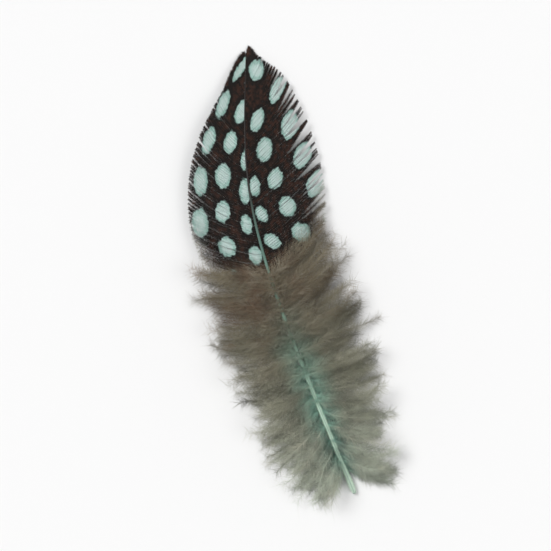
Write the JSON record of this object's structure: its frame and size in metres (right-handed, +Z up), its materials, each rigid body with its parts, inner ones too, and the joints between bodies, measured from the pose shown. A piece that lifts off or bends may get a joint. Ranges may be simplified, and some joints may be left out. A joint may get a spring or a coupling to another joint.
{
  "type": "spotted body feather",
  "caption": "Guinea fowl body feather, lying spotted side up: a dark vane with pale blue-green spots and grey-brown down along the lower shaft",
  "frame": {"origin": "centre of the bounding box's base, on the surface that the feather lies on", "axes": "+Y from the quill's end towards the tip, +Z up from the surface through the spotted side, +X to the right of the vane seen from above"},
  "size_m": [0.0268, 0.0744, 0.0065],
  "materials": {
    "feather": null
  },
  "bodies": {
    "root": {"feather": "feather"}
  },
  "joints": []
}
